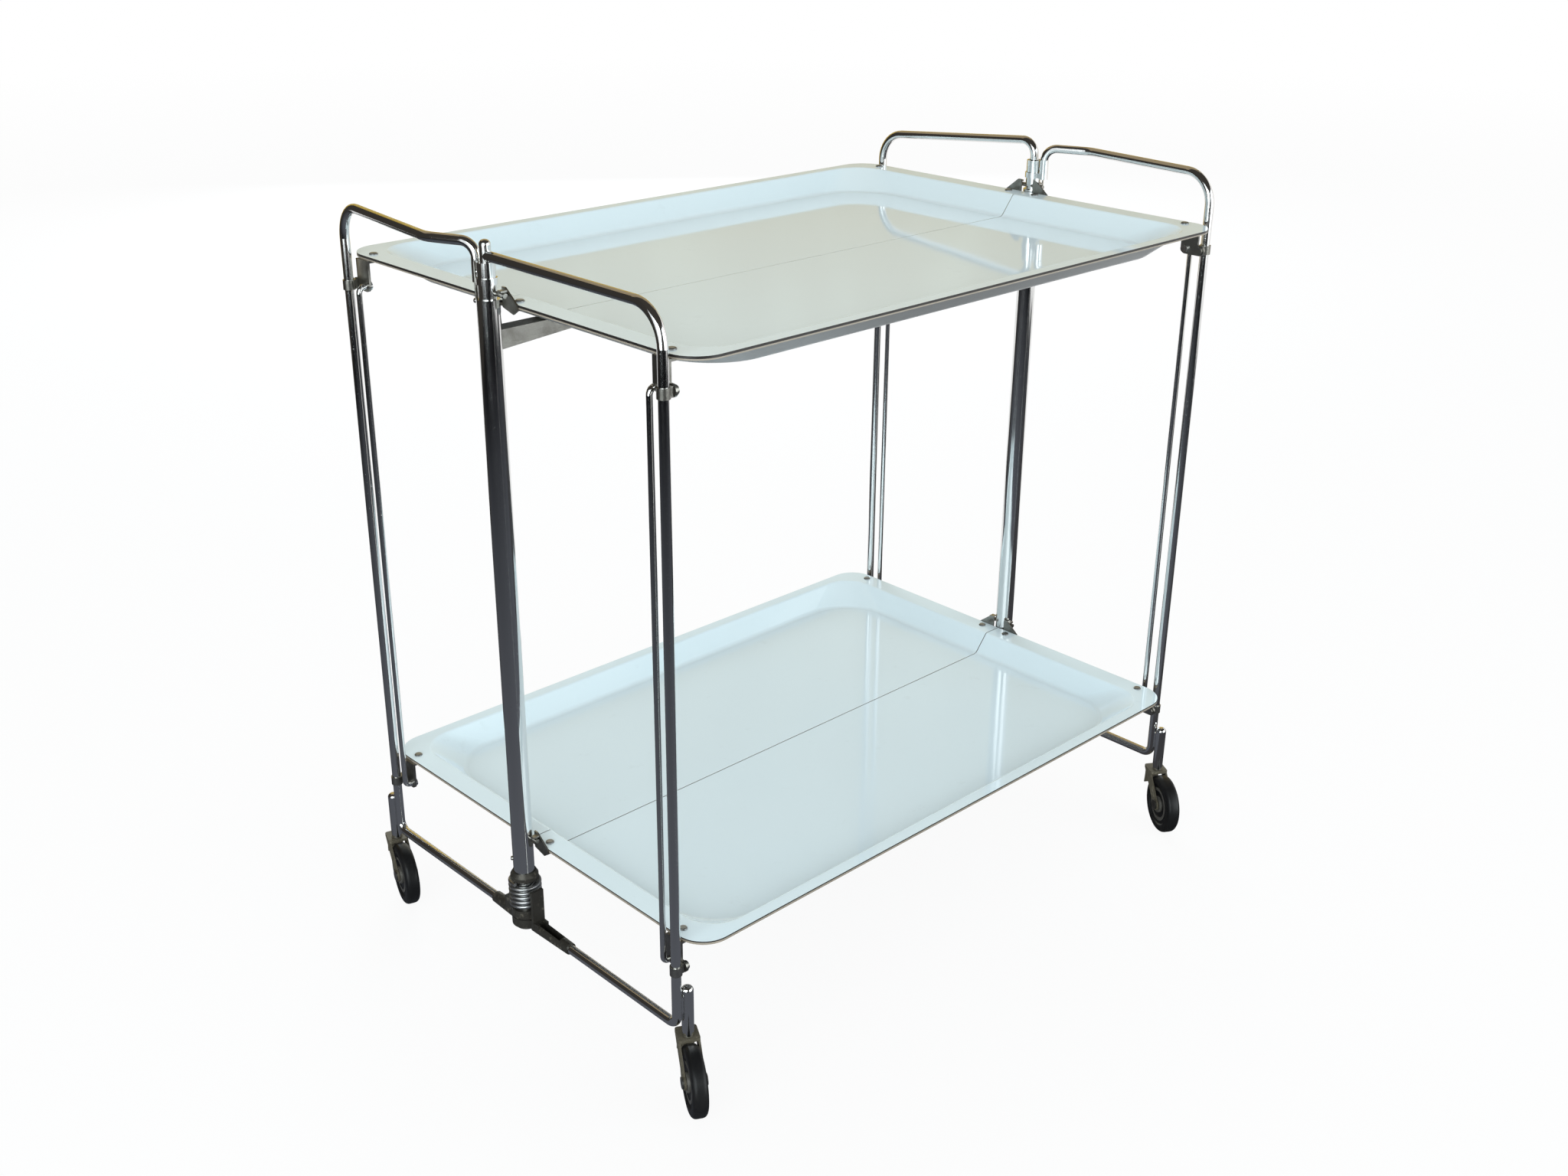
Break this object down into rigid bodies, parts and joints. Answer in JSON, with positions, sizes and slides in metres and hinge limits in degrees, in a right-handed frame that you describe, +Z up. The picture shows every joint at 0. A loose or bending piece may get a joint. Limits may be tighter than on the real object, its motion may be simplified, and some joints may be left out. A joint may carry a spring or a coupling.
{
  "type": "folding service trolley",
  "caption": "Folding two-tier serving trolley: split trays hang on bent rod frames that swing about end posts, so the trays fold up along the seam; grips at both ends, swivel casters.",
  "frame": {"origin": "on the floor, under the middle of the trays", "axes": "+X along the trays towards the right end, +Y towards the back, +Z up"},
  "size_m": [0.6788, 0.5104, 0.6667],
  "materials": {
    "tray": "gloss white laminate",
    "chrome": "bright chrome plate",
    "zinc": "zinc plate",
    "rivet": "dark grey rivet",
    "spring": "plated spring wire",
    "fork": "brown-grey lacquer",
    "wheel": "black, paler hub"
  },
  "bodies": {
    "left_post": {"left_post_tube": "chrome", "left_post_fittings": "zinc", "left_catch_pins": "zinc", "left_support_arm": "zinc", "left_spring_collar": "zinc", "left_foot_spring": "spring"},
    "right_post": {"right_post_tube": "chrome", "right_post_fittings": "zinc", "right_catch_pins": "zinc", "right_support_arm": "zinc", "right_spring_collar": "zinc", "right_foot_spring": "spring"},
    "left_front_frame": {"left_front_frame_rod": "chrome", "left_front_foot_arm": "zinc", "left_front_caster_socket": "chrome"},
    "left_front_clips": {"left_front_clips": "zinc"},
    "left_back_frame": {"left_back_frame_rod": "chrome", "left_back_foot_arm": "zinc", "left_back_caster_socket": "chrome", "left_back_frame_ring": "chrome"},
    "left_back_clips": {"left_back_clips": "zinc"},
    "right_front_frame": {"right_front_frame_rod": "chrome", "right_front_foot_arm": "zinc", "right_front_caster_socket": "chrome", "right_front_frame_ring": "chrome"},
    "right_front_clips": {"right_front_clips": "zinc"},
    "right_back_frame": {"right_back_frame_rod": "chrome", "right_back_foot_arm": "zinc", "right_back_caster_socket": "chrome"},
    "right_back_clips": {"right_back_clips": "zinc"},
    "upper_front_tray": {"upper_front_pan": "tray", "upper_front_fittings": "zinc", "upper_front_rivets": "rivet"},
    "upper_back_tray": {"upper_back_pan": "tray", "upper_back_fittings": "zinc", "upper_back_rivets": "rivet"},
    "lower_front_tray": {"lower_front_pan": "tray", "lower_front_fittings": "zinc", "lower_front_rivets": "rivet"},
    "lower_back_tray": {"lower_back_pan": "tray", "lower_back_fittings": "zinc", "lower_back_rivets": "rivet"},
    "left_front_tie": {"left_front_tie_rod": "chrome"},
    "left_front_caster": {"left_front_caster_fork": "fork", "left_front_caster_pins": "zinc"},
    "left_front_wheel": {"left_front_caster_wheel": "wheel"},
    "left_back_tie": {"left_back_tie_rod": "chrome"},
    "left_back_caster": {"left_back_caster_fork": "fork", "left_back_caster_pins": "zinc"},
    "left_back_wheel": {"left_back_caster_wheel": "wheel"},
    "right_front_tie": {"right_front_tie_rod": "chrome"},
    "right_front_caster": {"right_front_caster_fork": "fork", "right_front_caster_pins": "zinc"},
    "right_front_wheel": {"right_front_caster_wheel": "wheel"},
    "right_back_tie": {"right_back_tie_rod": "chrome"},
    "right_back_caster": {"right_back_caster_fork": "fork", "right_back_caster_pins": "zinc"},
    "right_back_wheel": {"right_back_caster_wheel": "wheel"}
  },
  "joints": [
    {"name": "fold", "type": "hinge", "parent": "left_post", "child": "left_front_frame", "pos_m": [-0.319, 0, 0.3], "axis": [0, 0, 1], "range_deg": [0, 58]},
    {"name": "left_back_swing", "type": "hinge", "parent": "left_post", "child": "left_back_frame", "pos_m": [-0.319, 0, 0.3], "axis": [0, 0, 1], "range_deg": [-58, 0]},
    {"name": "left_front_leg_turn", "type": "hinge", "parent": "left_front_frame", "child": "left_front_clips", "pos_m": [-0.319, -0.2, 0.5918], "axis": [0, 0, 1], "range_deg": [-58, 0]},
    {"name": "left_back_leg_turn", "type": "hinge", "parent": "left_back_frame", "child": "left_back_clips", "pos_m": [-0.319, 0.2, 0.5918], "axis": [0, 0, 1], "range_deg": [0, 58]},
    {"name": "upper_front_tilt", "type": "hinge", "parent": "left_front_clips", "child": "upper_front_tray", "pos_m": [-0.319, -0.2, 0.5918], "axis": [1, 0, 0], "range_deg": [0, 58]},
    {"name": "lower_front_tilt", "type": "hinge", "parent": "left_front_clips", "child": "lower_front_tray", "pos_m": [-0.319, -0.2, 0.1238], "axis": [1, 0, 0], "range_deg": [0, 58]},
    {"name": "upper_back_tilt", "type": "hinge", "parent": "left_back_clips", "child": "upper_back_tray", "pos_m": [-0.319, 0.2, 0.5918], "axis": [1, 0, 0], "range_deg": [-58, 0]},
    {"name": "lower_back_tilt", "type": "hinge", "parent": "left_back_clips", "child": "lower_back_tray", "pos_m": [-0.319, 0.2, 0.1238], "axis": [1, 0, 0], "range_deg": [-58, 0]},
    {"name": "left_front_tie_pivot", "type": "hinge", "parent": "upper_front_tray", "child": "left_front_tie", "pos_m": [-0.319, -0.185, 0.5918], "axis": [1, 0, 0], "range_deg": [-58, 0]},
    {"name": "left_back_tie_pivot", "type": "hinge", "parent": "upper_back_tray", "child": "left_back_tie", "pos_m": [-0.319, 0.185, 0.5918], "axis": [1, 0, 0], "range_deg": [0, 58]},
    {"name": "right_front_tie_pivot", "type": "hinge", "parent": "upper_front_tray", "child": "right_front_tie", "pos_m": [0.319, -0.185, 0.5918], "axis": [1, 0, 0], "range_deg": [-58, 0]},
    {"name": "right_back_tie_pivot", "type": "hinge", "parent": "upper_back_tray", "child": "right_back_tie", "pos_m": [0.319, 0.185, 0.5918], "axis": [1, 0, 0], "range_deg": [0, 58]},
    {"name": "right_front_level", "type": "hinge", "parent": "upper_front_tray", "child": "right_front_clips", "pos_m": [0.319, -0.2, 0.5918], "axis": [1, 0, 0], "range_deg": [-58, 0]},
    {"name": "right_front_leg_turn", "type": "hinge", "parent": "right_front_clips", "child": "right_front_frame", "pos_m": [0.319, -0.2, 0.5918], "axis": [0, 0, 1], "range_deg": [-58, 0]},
    {"name": "right_front_swing", "type": "hinge", "parent": "right_front_frame", "child": "right_post", "pos_m": [0.319, 0, 0.3], "axis": [0, 0, 1], "range_deg": [0, 58]},
    {"name": "right_back_swing", "type": "hinge", "parent": "right_post", "child": "right_back_frame", "pos_m": [0.319, 0, 0.3], "axis": [0, 0, 1], "range_deg": [0, 58]},
    {"name": "right_back_level", "type": "hinge", "parent": "upper_back_tray", "child": "right_back_clips", "pos_m": [0.319, 0.2, 0.5918], "axis": [1, 0, 0], "range_deg": [0, 58]},
    {"name": "left_front_swivel", "type": "hinge", "parent": "left_front_frame", "child": "left_front_caster", "pos_m": [-0.30935, -0.2017, 0.05648], "axis": [0, 0, 1], "continuous": true},
    {"name": "left_front_roll", "type": "hinge", "parent": "left_front_caster", "child": "left_front_wheel", "pos_m": [-0.32001, -0.22094, 0.029], "axis": [0.8746, -0.4848, 0], "continuous": true},
    {"name": "left_back_swivel", "type": "hinge", "parent": "left_back_frame", "child": "left_back_caster", "pos_m": [-0.319, 0.2098, 0.05648], "axis": [0, 0, 1], "continuous": true},
    {"name": "left_back_roll", "type": "hinge", "parent": "left_back_caster", "child": "left_back_wheel", "pos_m": [-0.32543, 0.18876, 0.029], "axis": [0.9563, -0.2924, 0], "continuous": true},
    {"name": "right_front_swivel", "type": "hinge", "parent": "right_front_frame", "child": "right_front_caster", "pos_m": [0.319, -0.2098, 0.05648], "axis": [0, 0, 1], "continuous": true},
    {"name": "right_front_roll", "type": "hinge", "parent": "right_front_caster", "child": "right_front_wheel", "pos_m": [0.30734, -0.22846, 0.029], "axis": [0.848, -0.5299, 0], "continuous": true},
    {"name": "right_back_swivel", "type": "hinge", "parent": "right_back_frame", "child": "right_back_caster", "pos_m": [0.319, 0.2098, 0.05648], "axis": [0, 0, 1], "continuous": true},
    {"name": "right_back_roll", "type": "hinge", "parent": "right_back_caster", "child": "right_back_wheel", "pos_m": [0.30734, 0.22846, 0.029], "axis": [-0.848, -0.5299, 0], "continuous": true}
  ],
  "couplings": [
    {"joint": "left_back_swing", "follows": "fold", "ratio": -1},
    {"joint": "left_front_leg_turn", "follows": "fold", "ratio": -1},
    {"joint": "left_back_leg_turn", "follows": "fold", "ratio": 1},
    {"joint": "upper_front_tilt", "follows": "fold", "ratio": 1},
    {"joint": "lower_front_tilt", "follows": "fold", "ratio": 1},
    {"joint": "upper_back_tilt", "follows": "fold", "ratio": -1},
    {"joint": "lower_back_tilt", "follows": "fold", "ratio": -1},
    {"joint": "left_front_tie_pivot", "follows": "fold", "ratio": -1},
    {"joint": "left_back_tie_pivot", "follows": "fold", "ratio": 1},
    {"joint": "right_front_tie_pivot", "follows": "fold", "ratio": -1},
    {"joint": "right_back_tie_pivot", "follows": "fold", "ratio": 1},
    {"joint": "right_front_level", "follows": "fold", "ratio": -1},
    {"joint": "right_front_leg_turn", "follows": "fold", "ratio": -1},
    {"joint": "right_front_swing", "follows": "fold", "ratio": 1},
    {"joint": "right_back_swing", "follows": "fold", "ratio": 1},
    {"joint": "right_back_level", "follows": "fold", "ratio": 1}
  ]
}
